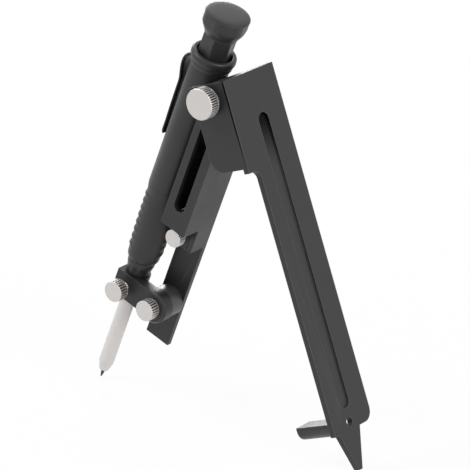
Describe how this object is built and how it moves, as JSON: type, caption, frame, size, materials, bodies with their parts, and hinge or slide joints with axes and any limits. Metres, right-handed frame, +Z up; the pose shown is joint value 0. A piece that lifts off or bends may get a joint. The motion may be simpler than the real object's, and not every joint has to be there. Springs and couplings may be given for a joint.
{
  "type": "scribing compass with carpenter pencil",
  "caption": "Scribing compass: two hinged black aluminium legs, one with a spike and foot rail, one holding a deep-hole mechanical carpenter pencil in a swinging clamp.",
  "frame": {"origin": "bottom centre of the bounding box: on the surface that the lead's point and the spike's tip touch, midway between them", "axes": "+X from the pencil leg to the guide leg, +Y from the hinge knob to the back, +Z up"},
  "size_m": [0.1141, 0.032, 0.1491],
  "materials": {
    "black_anodised": "satin black anodised",
    "nickel": "satin nickel, knurled rim",
    "steel": "bright steel",
    "nose_metal": "satin light metal",
    "brass": "plain",
    "black_plastic": "fine matt texture",
    "grip_rubber": "matt ribbed",
    "graphite": "dark grey lead"
  },
  "bodies": {
    "channel_leg": {"channel": "black_anodised", "standoff": "black_anodised", "arm_screw": "steel"},
    "pivot_slider": {"slide_nut": "steel", "pivot_stud": "steel", "pivot_washer": "steel"},
    "guide_leg": {"leg_plate": "black_anodised"},
    "hinge_knob": {"pivot_knob": "nickel"},
    "lock_slider": {"lock_block": "black_anodised"},
    "lock_screw": {"lock_knob": "nickel"},
    "arm": {"clamp_arm": "black_anodised"},
    "arm_nut": {"arm_knob": "nickel"},
    "pencil_screw": {"pencil_knob": "nickel"},
    "pencil": {"barrel": "black_plastic", "end_ring": "black_plastic", "pocket_clip": "black_plastic", "rubber_grip": "grip_rubber", "neck": "black_plastic", "nose_tube": "nose_metal", "nose_tip": "nose_metal", "clutch_ring": "steel", "button_spring": "steel"},
    "button": {"push_button": "black_plastic", "lead_tube": "brass", "clutch_jaws": "brass", "sharpener_blade": "steel", "blade_screw": "steel"},
    "lead_stick": {"lead": "graphite"}
  },
  "joints": [
    {"name": "leg_shift", "type": "slide", "parent": "channel_leg", "child": "pivot_slider", "axis": [-0.3239, 0, -0.9461], "range_m": [0, 0.0015]},
    {"name": "leg_fold", "type": "hinge", "parent": "pivot_slider", "child": "guide_leg", "pos_m": [-0.00206, -0.00945, 0.12103], "axis": [0, 1, 0], "range_deg": [-35, 38]},
    {"name": "hinge_knob_turn", "type": "hinge", "parent": "pivot_slider", "child": "hinge_knob", "pos_m": [-0.00206, -0.01345, 0.12103], "axis": [0, -1, 0], "range_deg": [0, 720]},
    {"name": "lock_slide", "type": "slide", "parent": "channel_leg", "child": "lock_slider", "axis": [-0.3239, 0, -0.9461], "range_m": [0, 0.012]},
    {"name": "lock_knob_turn", "type": "hinge", "parent": "lock_slider", "child": "lock_screw", "pos_m": [-0.02117, -0.00045, 0.06426], "axis": [0, -1, 0], "range_deg": [0, 720]},
    {"name": "arm_swing", "type": "hinge", "parent": "channel_leg", "child": "arm", "pos_m": [-0.03112, 0.00155, 0.03521], "axis": [0, 1, 0], "range_deg": [-15, 0]},
    {"name": "arm_knob_turn", "type": "hinge", "parent": "channel_leg", "child": "arm_nut", "pos_m": [-0.03112, -0.00345, 0.03521], "axis": [0, -1, 0], "range_deg": [0, 720]},
    {"name": "pencil_slide", "type": "slide", "parent": "arm", "child": "pencil", "axis": [0.3239, 0, 0.9461], "range_m": [0, 0.02]},
    {"name": "pencil_knob_turn", "type": "hinge", "parent": "arm", "child": "pencil_screw", "pos_m": [-0.04305, -0.00445, 0.03972], "axis": [0, -1, 0], "range_deg": [0, 720]},
    {"name": "button_press", "type": "slide", "parent": "pencil", "child": "button", "axis": [-0.3239, 0, -0.9461], "range_m": [0, 0.0025], "stiffness_N_per_m": 600, "springref_m": -0.002, "deforming": ["button_spring"]},
    {"name": "lead_feed", "type": "slide", "parent": "pencil", "child": "lead_stick", "axis": [-0.3239, 0, -0.9461], "range_m": [-0.003, 0.01]}
  ]
}
